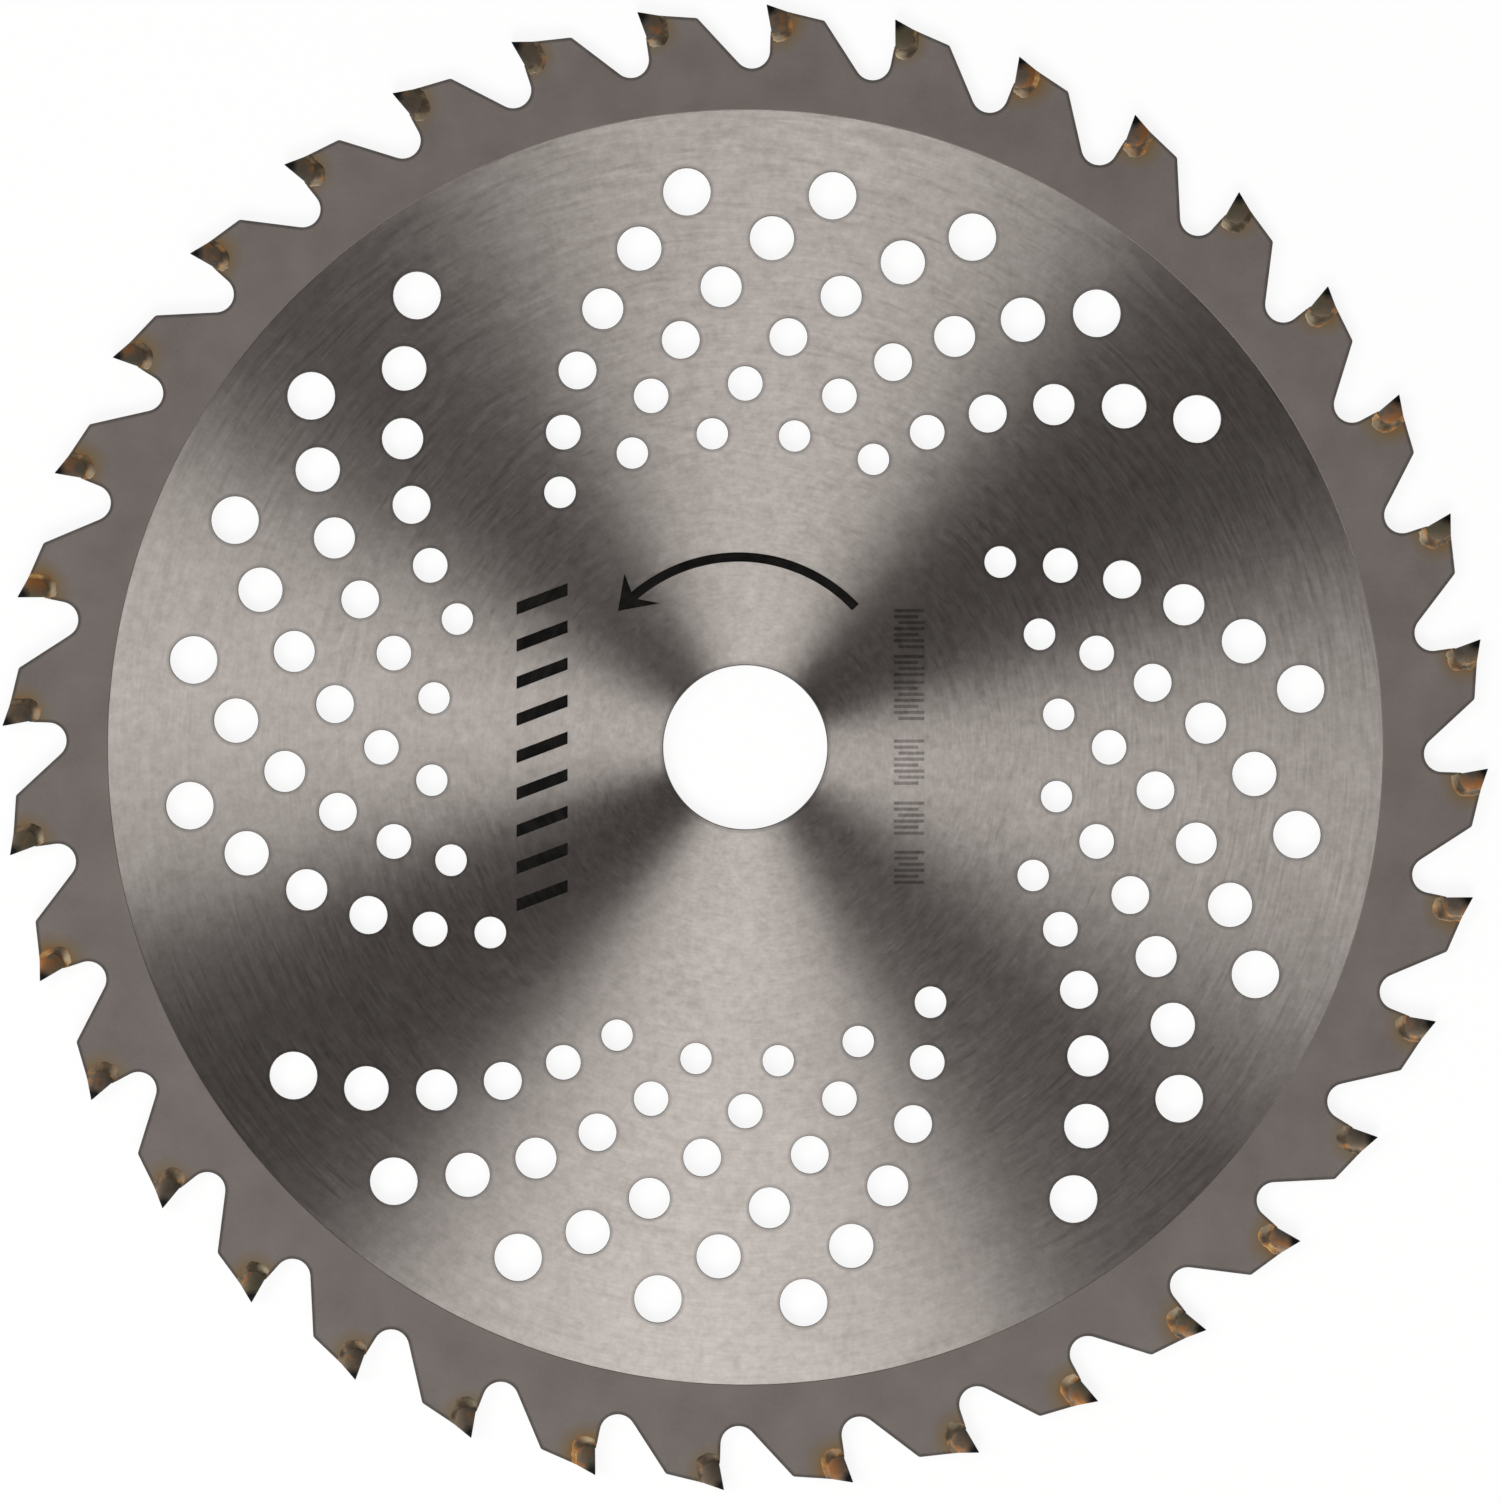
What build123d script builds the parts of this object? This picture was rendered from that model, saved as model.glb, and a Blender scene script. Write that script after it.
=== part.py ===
from build123d import *
from math import asin, cos, degrees, radians, sin, sqrt, tan
import os

# A carbide-tipped circular blade for a brush cutter. It lies flat: the spindle axis is Z and the
# origin is the centre of the bore at the middle of the steel. Seen from +Z the blade turns
# counter-clockwise. One tooth is drawn at the top of the blade, where +Y is outward and +X lies
# behind the cutting corner, and is then turned to every other place.

# Whole blade, in millimetres and degrees
blade_diameter = 230.0
tooth_count = 36
first_tooth_angle = 88.35
bore_diameter = 25.4
bore_edge_break = 0.15

# Steel plate, with a ground web that lies a little below the blasted rim on both faces
rim_thickness = 1.4
rim_width = 6.3
web_grind_depth = 0.1

# Carbide tip
tip_height = 4.6
tip_width = 2.8
tip_overhang = 0.4
tip_corner_share = 0.54
hook_angle = 12.0
top_clearance = 17.5
side_clearance = 2.0
radial_clearance = 1.0

# Braze that holds the tip in its seat, with a fillet on each side of the plate
braze_gap = 0.1
braze_spread = 0.8
braze_rise_share = 0.75
braze_edge_share = 0.2
bead_height = 0.6

# Steel behind and below the tip
seat_shelf = 0.24
front_height = 2.5
gullet_radius = 2.8
land_angle = 12.0
shoulder_share = 0.45
shoulder_radius = 0.7

# Lightening holes, in arms that lag from ring to ring, with one arm left out of each sector
hole_sectors = 4
arms_per_sector = 5
holes_per_arm = 6
inner_hole_diameter = 4.9
outer_hole_diameter = 7.4
hub_width = 36.1
web_margin = 12.3
ring_lag = 6.0
first_arm_angle = 126.0

# Worked out from the sizes above
cutting_radius = blade_diameter / 2
pitch_angle = 360 / tooth_count
tooth_turn = first_tooth_angle - 90
web_thickness = rim_thickness - 2 * web_grind_depth
kerf = rim_thickness + 2 * tip_overhang

# Directions in the tooth: down the cutting face, square behind it, and back along the steel land
down_face = Vector(sin(radians(hook_angle)), -cos(radians(hook_angle)))
behind_face = Vector(cos(radians(hook_angle)), sin(radians(hook_angle)))
along_land = Vector(cos(radians(land_angle)), -sin(radians(land_angle)))

# Corners of the tip
cutting_corner = Vector(0, cutting_radius)
face_foot = cutting_corner + down_face * tip_height
heel = face_foot + behind_face * tip_width
top_drop = tip_width * tan(radians(hook_angle + top_clearance))
top_back = cutting_corner + behind_face * tip_width + down_face * top_drop
tip_corner_radius = tip_width * tip_corner_share

# Corners of the seat, one braze gap away from the tip's back and floor
front_x = face_foot.X - seat_shelf
seat_heel = heel + (behind_face + down_face) * braze_gap
seat_front = seat_heel - behind_face * ((seat_heel.X - front_x) / behind_face.X)
seat_top = top_back + along_land * (braze_gap / cos(radians(hook_angle + land_angle)))
shoulder_x = cutting_radius * radians(pitch_angle * shoulder_share)
shoulder = seat_top + along_land * ((shoulder_x - seat_top.X) / along_land.X)

# The gullet runs tangent into the front of the next tooth and into the back of this one
gullet_front = Vector(front_x, seat_front.Y - front_height).rotate(Axis.Z, -pitch_angle)
gullet_centre = gullet_front - Vector(gullet_radius, 0).rotate(Axis.Z, -pitch_angle)
gullet_floor = gullet_centre - gullet_centre.normalized() * gullet_radius
to_gullet = gullet_centre - shoulder
back_length = sqrt(to_gullet.length**2 - gullet_radius**2)
back_turn = degrees(asin(gullet_radius / to_gullet.length))
gullet_back = shoulder + to_gullet.normalized().rotate(Axis.Z, -back_turn) * back_length
web_radius = gullet_floor.length - rim_width

# The braze fillet climbs part of what the tip's flank stands proud of the steel
flank_height = tip_overhang - tip_width * tan(radians(side_clearance))
flank_height = flank_height - tip_height * tan(radians(radial_clearance))
braze_rise = flank_height * braze_rise_share
braze_edge = braze_rise * braze_edge_share

# Rings of lightening holes between the hub and the edge of the web
inner_ring_radius = bore_diameter / 2 + hub_width
ring_spacing = (web_radius - web_margin - inner_ring_radius) / (holes_per_arm - 1)
hole_growth = (outer_hole_diameter - inner_hole_diameter) / (holes_per_arm - 1)
arm_spacing = 360 / hole_sectors / (arms_per_sector + 1)

# The steel edge of one tooth, from the front of its seat to the front of the next tooth's seat
with BuildLine() as tooth_edge:
    FilletPolyline(seat_front, seat_heel, seat_top, radius=tip_corner_radius + braze_gap)
    FilletPolyline(seat_top, shoulder, gullet_back, radius=shoulder_radius)
    ThreePointArc(gullet_back, gullet_floor, gullet_front)
    Line(gullet_front, seat_front.rotate(Axis.Z, -pitch_angle))

with BuildPart() as plate:
    with BuildSketch() as rim:
        with BuildLine():
            for tooth in range(tooth_count):
                add(tooth_edge.line.rotate(Axis.Z, tooth_turn - tooth * pitch_angle))
        make_face()
        Circle(web_radius, mode=Mode.SUBTRACT)
    extrude(amount=rim_thickness / 2, both=True)
    with BuildSketch() as web:
        Circle(web_radius)
        Circle(bore_diameter / 2, mode=Mode.SUBTRACT)
        for ring in range(holes_per_arm):
            ring_radius = inner_ring_radius + ring * ring_spacing
            hole_radius = (inner_hole_diameter + ring * hole_growth) / 2
            for arm in range(arms_per_sector):
                angle = first_arm_angle - ring * ring_lag - arm * arm_spacing
                with PolarLocations(ring_radius, hole_sectors, start_angle=angle):
                    Circle(hole_radius, mode=Mode.SUBTRACT)
    extrude(amount=web_thickness / 2, both=True)
    bore_edges = plate.edges().filter_by(
        lambda edge: edge.geom_type == GeomType.CIRCLE
        and abs(edge.radius - bore_diameter / 2) < 0.001
        and edge.arc_center.length < web_thickness
    )
    chamfer(bore_edges, length=bore_edge_break)

# The tip is extruded from its side view, then each flank is ground back from the cutting corner
with BuildPart() as tip:
    with BuildSketch():
        with BuildLine():
            Line(cutting_corner, face_foot)
            FilletPolyline(face_foot, heel, top_back, radius=tip_corner_radius)
            Line(top_back, cutting_corner)
        make_face()
    extrude(amount=kerf / 2, both=True)
    for side in (1, -1):
        flank = Plane(
            origin=(0, cutting_radius, side * kerf / 2),
            z_dir=(tan(radians(side_clearance)), -tan(radians(radial_clearance)), side),
        )
        split(bisect_by=flank, keep=Keep.BOTTOM)

# Braze fills the gap round the tip's back and floor, with a bead under the cutting face, and
# then runs out over each face of the plate as a hollow fillet that stops level with the land
bead_top = face_foot - down_face * bead_height
with BuildLine() as tip_back:
    FilletPolyline(face_foot, heel, top_back, radius=tip_corner_radius)

with BuildPart() as joint:
    with BuildSketch():
        with BuildLine():
            add(tip_back.line)
            Line(top_back, seat_top)
            FilletPolyline(seat_top, seat_heel, seat_front, radius=tip_corner_radius + braze_gap)
            Polyline(seat_front, bead_top, face_foot)
        make_face()
    extrude(amount=rim_thickness / 2, both=True)
    section_plane = Plane(
        origin=(face_foot.X, face_foot.Y, rim_thickness / 2),
        x_dir=(down_face.X, down_face.Y, 0),
        z_dir=(-behind_face.X, -behind_face.Y, 0),
    )
    with BuildSketch(section_plane):
        with BuildLine():
            Polyline((0, braze_rise), (0, 0), (braze_spread, 0), (braze_spread, braze_edge))
            ThreePointArc(
                (braze_spread, braze_edge),
                (braze_spread * 0.42, braze_rise * 0.36),
                (0, braze_rise),
            )
        make_face()
    sweep(path=tip_back.line)
    mirror(about=Plane.XY)
    land_plane = Plane(origin=top_back, x_dir=along_land, z_dir=along_land.rotate(Axis.Z, 90))
    split(bisect_by=land_plane, keep=Keep.BOTTOM)

# One named piece for the plate, one for each tip, and one that holds the separate brazed joints
os.makedirs("parts", exist_ok=True)
plate.part.label = "plate"
export_step(plate.part, "parts/plate.step")

for tooth in range(tooth_count):
    name = f"tip_{tooth + 1:02d}"
    with BuildPart() as placed_tip:
        add(tip.part, rotation=(0, 0, tooth_turn - tooth * pitch_angle))
    placed_tip.part.label = name
    export_step(placed_tip.part, f"parts/{name}.step")

with BuildPart() as braze:
    for tooth in range(tooth_count):
        add(joint.part, rotation=(0, 0, tooth_turn - tooth * pitch_angle))
braze.part.label = "braze"
export_step(braze.part, "parts/braze.step")
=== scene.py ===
from math import asin, atan2, cos, degrees, pi, radians, sin, sqrt, tan
import bmesh
import bpy
from mathutils import Matrix, Vector, noise


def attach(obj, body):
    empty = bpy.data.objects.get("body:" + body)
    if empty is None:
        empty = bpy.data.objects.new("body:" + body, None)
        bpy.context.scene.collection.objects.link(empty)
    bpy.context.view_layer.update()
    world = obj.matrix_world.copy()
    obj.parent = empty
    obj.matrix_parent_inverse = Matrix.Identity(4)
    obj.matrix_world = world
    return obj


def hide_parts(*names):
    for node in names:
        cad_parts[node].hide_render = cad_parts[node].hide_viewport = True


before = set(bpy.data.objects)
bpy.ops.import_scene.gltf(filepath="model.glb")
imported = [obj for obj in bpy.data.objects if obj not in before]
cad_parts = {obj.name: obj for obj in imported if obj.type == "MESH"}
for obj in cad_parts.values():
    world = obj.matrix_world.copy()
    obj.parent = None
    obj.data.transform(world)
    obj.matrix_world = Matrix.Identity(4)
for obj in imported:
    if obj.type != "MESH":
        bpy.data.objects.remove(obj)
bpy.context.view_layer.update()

print("frame loaded:", len(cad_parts), "nodes")

mm = 0.001

# the steel as it is in the model, in millimetres and degrees
blade = {
    "radius": 115.0,
    "teeth": 36,
    "firstTooth": 88.35,
    "bore": 12.7,
    "boreBreak": 0.15,
    "rimThick": 1.4,
    "webThick": 1.2,
    "rimWidth": 6.3,  # from the floor of a gullet to the edge of the web
    "stepRun": 0.12,  # width of the slope between ground web and rim
    "edgeBreak": 0.08,
    "edgeRing": 0.6,  # width of the ring along every edge that is darkened with painted shade
    "shelf": 0.24,
    "frontHeight": 2.5,
    "gulletRadius": 2.8,
    "landAngle": 12.0,
    "shoulderShare": 0.45,
    "shoulderRadius": 0.7,
    "seatSteps": 6,
    "shoulderSteps": 4,
    "gulletSteps": 14,
    "boreSegments": 128,
    "webSegments": 360,
    "nearWeb": 0.3,  # edges this close to the edge of the web belong to the slope
    "nearBore": 1.0,
    "toothMerge": 0.001,
    "mirrorMerge": 0.0001,
}

tip = {
    "height": 4.6,
    "width": 2.8,
    "thick": 2.2,
    "heelRadius": 1.512,
    "hook": 12.0,
    "clearance": 17.5,
    "sideAngle": 2.0,
    "radialAngle": 1.0,
    "edge": 0.03,
    "edgeSegments": 2,
    "sharpAbove": 25,
    "smoothBelow": 30,
    "heelSteps": 8,
}

joint = {
    "gap": 0.1,
    "spread": 0.9,
    "floorSpread": 1.55,
    "bulgeAt": 1.5,  # the braze is widest this far behind the foot of the cutting face
    "bulgeReach": 1.6,
    "rise": 0.17,
    "edge": 0.03,
    # hollow fillet: shares of the spread, of the rise and of the edge's height
    "profile": ((0, 1, 0), (0.18, 0.62, 0), (0.42, 0.34, 0), (0.7, 0.16, 0.5), (0.95, 0, 1), (1, 0, 0)),
    "waver": 0.3,  # how much the outline of the braze wanders
    "fineWaver": 0.12,
    "riseWaver": 0.25,
    "driftRate": 0.9,
    "fineRate": 3.1,
    "seedStep": 3.7,
    "seedRow": 1.3,
    "fineRow": 5,
    "beadDepth": 0.21,  # how far the bead reaches in front of the cutting face
    "beadShares": (0.95, 0.8, 0.6, 0.35, 0.05),
    "beadSpread": 0.3,
    "beadSwell": 0.25,
    "beadClimb": 0.5,
    "beadRise": 0.6,
    "floorRuns": 7,
    "heelTurns": 10,
    "backRuns": 5,
    "smoothBelow": 50,
}

holes = {
    "sectors": 4,
    "arms": 5,
    "rings": 6,
    "hubWidth": 36.1,  # plain ring between the bore and the middle of the first holes
    "webMargin": 12.3,  # plain ring outside the middle of the last holes
    "smallest": 4.9,
    "largest": 7.4,
    "lag": 6.0,
    "firstArm": 126.0,
    "segments": 32,
}


def zTurn(angle):
    return Matrix.Rotation(radians(angle), 3, "Z")


def turned(point, angle):
    return zTurn(angle) @ point


# one tooth at the top of the blade: +Y is outward, +X is behind the cutting corner
spindle = Vector((0, 0, 0))
pitch = 360 / blade["teeth"]
toothTurn = blade["firstTooth"] - 90
hook = radians(tip["hook"])
landSlope = radians(blade["landAngle"])
down = Vector((sin(hook), -cos(hook), 0))
behind = Vector((cos(hook), sin(hook), 0))
alongLand = Vector((cos(landSlope), -sin(landSlope), 0))
corner = Vector((0, blade["radius"], 0))
foot = corner + down * tip["height"]
heel = foot + behind * tip["width"]
heelCentre = heel - (behind + down) * tip["heelRadius"]
topDrop = tip["width"] * tan(radians(tip["hook"] + tip["clearance"]))
topBack = corner + behind * tip["width"] + down * topDrop
frontX = foot.x - blade["shelf"]
seatHeel = heel + (behind + down) * joint["gap"]
seatFront = seatHeel - behind * ((seatHeel.x - frontX) / behind.x)
seatTop = topBack + alongLand * (joint["gap"] / cos(hook + landSlope))
shoulderX = blade["radius"] * radians(pitch * blade["shoulderShare"])
shoulder = seatTop + alongLand * ((shoulderX - seatTop.x) / alongLand.x)
gulletFront = turned(Vector((frontX, seatFront.y - blade["frontHeight"], 0)), -pitch)
gulletCentre = gulletFront - turned(Vector((blade["gulletRadius"], 0, 0)), -pitch)
toGullet = gulletCentre - shoulder
backLength = sqrt(toGullet.length_squared - blade["gulletRadius"] ** 2)
backTurn = degrees(asin(blade["gulletRadius"] / toGullet.length))
backLine = turned(toGullet.normalized(), -backTurn)
gulletBack = shoulder + backLine * backLength
webRadius = gulletCentre.length - blade["gulletRadius"] - blade["rimWidth"]
firstRing = blade["bore"] + holes["hubWidth"]
lastRing = webRadius - holes["webMargin"]
print("web radius %.3f mm, rings %.3f to %.3f mm" % (webRadius, firstRing, lastRing))


def vertsOf(items):
    return [item for item in items if isinstance(item, bmesh.types.BMVert)]


def looseVerts(bm):
    return [vert for vert in bm.verts if not vert.link_faces]


def looseEdges(bm):
    return [edge for edge in bm.edges if not edge.link_faces]


def borderEdges(bm):
    return [edge for edge in bm.edges if edge.is_boundary]


def spinAbout(bm, items, centre, angle, steps, copies=False):
    spun = bmesh.ops.spin(
        bm, geom=items, cent=centre * mm, axis=(0, 0, 1), angle=radians(angle), steps=steps,
        use_merge=False, use_duplicate=copies,
    )
    return vertsOf(spun["geom_last"])


def spinCopies(bm, items, count):
    spinAbout(bm, items, spindle, 360 / count - 360, count - 1, copies=True)


def turnToTooth(bm, verts, number):
    bmesh.ops.rotate(bm, verts=verts, cent=spindle, matrix=zTurn(toothTurn - (number - 1) * pitch))


def runLine(bm, vert, point):
    made = bm.verts.new(point * mm)
    bm.edges.new((vert, made))
    return made


def runArc(bm, vert, centre, angle, steps):
    return spinAbout(bm, [vert], centre, angle, steps)[0]


def drawTooth(bm, level):
    start = bm.verts.new(seatFront * mm)
    seatRadius = tip["heelRadius"] + joint["gap"]
    seatCentre = seatHeel - behind * seatRadius - down * seatRadius
    vert = runLine(bm, start, seatHeel - behind * seatRadius)
    vert = runArc(bm, vert, seatCentre, 90, blade["seatSteps"])
    vert = runLine(bm, vert, seatTop)
    bend = degrees(alongLand.angle(backLine))
    bendStart = shoulder - alongLand * (blade["shoulderRadius"] * tan(radians(bend / 2)))
    bendCentre = bendStart + turned(alongLand, -90) * blade["shoulderRadius"]
    vert = runLine(bm, vert, bendStart)
    vert = runArc(bm, vert, bendCentre, -bend, blade["shoulderSteps"])
    vert = runLine(bm, vert, gulletBack)
    fromBack = gulletBack - gulletCentre
    fromFront = gulletFront - gulletCentre
    sweep = degrees(atan2(fromFront.y, fromFront.x) - atan2(fromBack.y, fromBack.x)) % 360
    vert = runArc(bm, vert, gulletCentre, sweep, blade["gulletSteps"])
    runLine(bm, vert, turned(seatFront, -pitch))
    tooth = looseVerts(bm)
    turnToTooth(bm, tooth, 1)
    bmesh.ops.translate(bm, verts=tooth, vec=(0, 0, level))


def drawCircle(bm, radius, level, segments, at=spindle):
    centre = Matrix.Translation((at.x * mm, at.y * mm, level))
    bmesh.ops.create_circle(bm, cap_ends=False, radius=radius * mm, segments=segments, matrix=centre)


def fillLoose(bm, slot):
    made = bmesh.ops.triangle_fill(
        bm, use_beauty=True, use_dissolve=False, edges=looseEdges(bm), normal=(0, 0, 1),
    )
    for item in made["geom"]:
        if isinstance(item, bmesh.types.BMFace):
            item.material_index = slot


def paintWalls(items, slot):
    for item in items:
        if isinstance(item, bmesh.types.BMEdge):
            for face in item.link_faces:
                face.material_index = slot


def insetEdges(bm, width):
    inset = bmesh.ops.inset_region(
        bm, faces=bm.faces[:], use_boundary=True, use_even_offset=True, thickness=width * mm,
    )
    return inset["faces"]


def addObject(name, data):
    made = bpy.data.objects.new(name, data)
    bpy.context.scene.collection.objects.link(made)
    return made


def addMesh(name, bm):
    mesh = bpy.data.meshes.new(name)
    bm.to_mesh(mesh)
    bm.free()
    return addObject(name, mesh)


def place(bm, name, smoothBelow=35):
    piece = addMesh(name, bm)
    for polygon in piece.data.polygons:
        polygon.use_smooth = True
    piece.data.set_sharp_from_angle(angle=radians(smoothBelow))
    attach(piece, "root")
    return piece


# the plate's material slots
groundSlot = 0
blastedSlot = 1
cutSlot = 2


# holes of one sector, then its copies
def drawHoles(bm, level):
    step = (lastRing - firstRing) / (holes["rings"] - 1)
    growth = (holes["largest"] - holes["smallest"]) / (holes["rings"] - 1)
    armStep = 360 / holes["sectors"] / (holes["arms"] + 1)
    for ring in range(holes["rings"]):
        for arm in range(holes["arms"]):
            angle = radians(holes["firstArm"] - ring * holes["lag"] - arm * armStep)
            at = Vector((cos(angle), sin(angle), 0)) * (firstRing + ring * step)
            drawCircle(bm, (holes["smallest"] + ring * growth) / 2, level, holes["segments"], at)
    spinCopies(bm, bm.verts[:] + bm.edges[:], holes["sectors"])


# steel plate: the upper half is filled, its edges are broken and walled, then mirrored
def makePlate():
    bm = bmesh.new()
    nearEdge = bm.verts.layers.float.new("nearEdge")
    webTop = blade["webThick"] / 2 * mm
    rimTop = blade["rimThick"] / 2 * mm
    drawHoles(bm, webTop)
    drawCircle(bm, blade["bore"] + blade["boreBreak"], webTop, blade["boreSegments"])
    drawCircle(bm, webRadius - blade["stepRun"], webTop, blade["webSegments"])
    fillLoose(bm, groundSlot)

    # blasted rim, then the slope down to the web
    drawTooth(bm, rimTop)
    spinCopies(bm, looseVerts(bm) + looseEdges(bm), blade["teeth"])
    bmesh.ops.remove_doubles(bm, verts=looseVerts(bm), dist=blade["toothMerge"] * mm)
    drawCircle(bm, webRadius, rimTop, blade["webSegments"])
    fillLoose(bm, blastedSlot)
    slope = []
    for edge in borderEdges(bm):
        if abs(edge.verts[0].co.xy.length / mm - webRadius) < blade["nearWeb"]:
            slope.append(edge)
    for face in bmesh.ops.bridge_loops(bm, edges=slope)["faces"]:
        face.material_index = blastedSlot
    bmesh.ops.recalc_face_normals(bm, faces=bm.faces[:])
    if max(bm.faces, key=lambda face: face.calc_area()).normal.z < 0:
        bmesh.ops.reverse_faces(bm, faces=bm.faces[:])

    # a ring along every edge, which the finishes darken with painted shade
    insetEdges(bm, blade["edgeRing"])
    for edge in borderEdges(bm):
        for vert in edge.verts:
            vert[nearEdge] = 1

    # the bore's larger edge break
    boreReach = (blade["bore"] + blade["nearBore"]) * mm
    boreEdges = [edge for edge in borderEdges(bm) if edge.verts[0].co.xy.length < boreReach]
    boreRim = bmesh.ops.extrude_edge_only(bm, edges=boreEdges)["geom"]
    inward = blade["bore"] / (blade["bore"] + blade["boreBreak"])
    bmesh.ops.scale(bm, vec=(inward, inward, 1), verts=vertsOf(boreRim))
    bmesh.ops.translate(bm, vec=(0, 0, -blade["boreBreak"] * mm), verts=vertsOf(boreRim))
    paintWalls(boreRim, cutSlot)

    # broken edges all round, then the cut walls
    for face in insetEdges(bm, blade["edgeBreak"]):
        face.material_index = cutSlot
    border = borderEdges(bm)
    lowered = list({vert for edge in border for vert in edge.verts})
    bmesh.ops.translate(bm, vec=(0, 0, -blade["edgeBreak"] * mm), verts=lowered)
    walls = bmesh.ops.extrude_edge_only(bm, edges=border)["geom"]
    for vert in vertsOf(walls):
        vert.co.z = 0
    paintWalls(walls, cutSlot)
    bmesh.ops.mirror(
        bm, geom=bm.verts[:] + bm.edges[:] + bm.faces[:], matrix=Matrix.Identity(4),
        merge_dist=blade["mirrorMerge"] * mm, axis="Z",
    )
    bmesh.ops.recalc_face_normals(bm, faces=bm.faces[:])
    return place(bm, "blade_steel")


steelPiece = makePlate()
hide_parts("plate")
print("steel plate made:", len(steelPiece.data.polygons), "faces")


# carbide tips: the side view is filled, pushed to the kerf, tapered and given ground edges
def makeTip(number):
    bm = bmesh.new()
    first = bm.verts.new(corner * mm)
    vert = runLine(bm, first, foot)
    vert = runLine(bm, vert, heel - behind * tip["heelRadius"])
    vert = runArc(bm, vert, heelCentre, 90, tip["heelSteps"])
    vert = runLine(bm, vert, topBack)
    bm.edges.new((vert, first))
    side = bmesh.ops.edgeloop_fill(bm, edges=bm.edges[:])["faces"]
    pushed = bmesh.ops.extrude_face_region(bm, geom=side)["geom"]
    half = tip["thick"] / 2
    for vert in bm.verts:
        vert.co.z = -half * mm
    for vert in vertsOf(pushed):
        vert.co.z = half * mm
    sideSlope = tan(radians(tip["sideAngle"]))
    radialSlope = tan(radians(tip["radialAngle"]))
    for vert in bm.verts:
        fromCorner = vert.co / mm - corner
        vert.co.z *= (half - fromCorner.x * sideSlope + fromCorner.y * radialSlope) / half
    bmesh.ops.recalc_face_normals(bm, faces=bm.faces[:])
    sharp = [edge for edge in bm.edges if edge.calc_face_angle(0) > radians(tip["sharpAbove"])]
    bmesh.ops.bevel(
        bm, geom=sharp, offset=tip["edge"] * mm, offset_type="OFFSET", affect="EDGES",
        segments=tip["edgeSegments"], profile=0.5, material=-1, clamp_overlap=True,
    )
    turnToTooth(bm, bm.verts[:], number)
    piece = place(bm, f"carbide_tip_{number:02d}", tip["smoothBelow"])
    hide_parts(f"tip_{number:02d}")
    return piece


tipPieces = [makeTip(number) for number in range(1, blade["teeth"] + 1)]
print("carbide tips made:", len(tipPieces))


# a joint follows the tip from its bead along the floor, round the heel and up the back
def brazeStations():
    radius = tip["heelRadius"]
    floorLength = (heel - behind * radius - foot).length
    backStart = heel - down * radius
    backHeight = (topBack - backStart).length
    runs = [-joint["beadDepth"] * share for share in joint["beadShares"]]
    runs += [floorLength * count / joint["floorRuns"] for count in range(joint["floorRuns"] + 1)]
    stations = [(foot + behind * run, down, run) for run in runs]
    for count in range(1, joint["heelTurns"] + 1):
        angle = 90 * count / joint["heelTurns"]
        outward = turned(down, angle)
        stations.append((heelCentre + outward * radius, outward, floorLength + radians(angle) * radius))
    for count in range(1, joint["backRuns"] + 1):
        share = count / joint["backRuns"]
        run = floorLength + pi / 2 * radius + backHeight * share
        outward = turned(behind, -(tip["hook"] + blade["landAngle"]) * share)  # ends along the land
        stations.append((backStart - down * backHeight * share, outward, run))
    return stations


# closed section at one station, with a fillet on each face of the steel
def brazeRing(bm, seed, at, outward, run):
    drift = noise.noise(seed + Vector((run * joint["driftRate"], 0, 0)))
    fine = noise.noise(seed + Vector((run * joint["fineRate"], joint["fineRow"], 0)))
    bulge = max(0, 1 - ((run - joint["bulgeAt"]) / joint["bulgeReach"]) ** 2)
    spread = joint["spread"] + (joint["floorSpread"] - joint["spread"]) * bulge
    spread *= 1 + joint["waver"] * drift + joint["fineWaver"] * fine
    rise = joint["rise"] * (1 + joint["riseWaver"] * drift)
    climb = 0
    if run < 0:
        curve = sqrt(1 - (run / joint["beadDepth"]) ** 2)  # the bead's front is rounded
        spread *= joint["beadSpread"] + joint["beadSwell"] * curve
        climb = joint["beadClimb"] * curve
        rise *= joint["beadRise"] * curve
    half = blade["rimThick"] / 2
    section = []
    for share, riseShare, edgeShare in joint["profile"]:
        reach = share * spread - climb * (1 - share) ** 2
        section.append((reach, half + rise * riseShare + joint["edge"] * edgeShare))
    section.append((joint["gap"], half))
    section += [(reach, -level) for reach, level in reversed(section)]
    ring = []
    for reach, level in section:
        ring.append(bm.verts.new((at + outward * reach) * mm + Vector((0, 0, level * mm))))
    return ring


def makeBraze():
    bm = bmesh.new()
    stations = brazeStations()
    for number in range(1, blade["teeth"] + 1):
        seed = Vector((number * joint["seedStep"], joint["seedRow"], 0))
        rings = [brazeRing(bm, seed, *station) for station in stations]
        for pair in zip(rings, rings[1:]):
            edges = []
            for ring in pair:
                for ends in zip(ring, ring[1:] + ring[:1]):
                    edges.append(bm.edges.get(ends) or bm.edges.new(ends))
            bmesh.ops.bridge_loops(bm, edges=edges)
        for ring in (rings[0], rings[-1]):
            bm.faces.new(ring)
        turnToTooth(bm, [vert for ring in rings for vert in ring], number)
    bmesh.ops.recalc_face_normals(bm, faces=bm.faces[:])
    return place(bm, "braze_joints", joint["smoothBelow"])


brazePiece = makeBraze()
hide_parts("braze")
print("brazed joints made:", len(brazePiece.data.polygons), "faces")

# printed marks on the upper face of the web: the ink starts below the face and ends above it
inkLayer = {"sunk": 0.01, "proud": 0.02}

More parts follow.
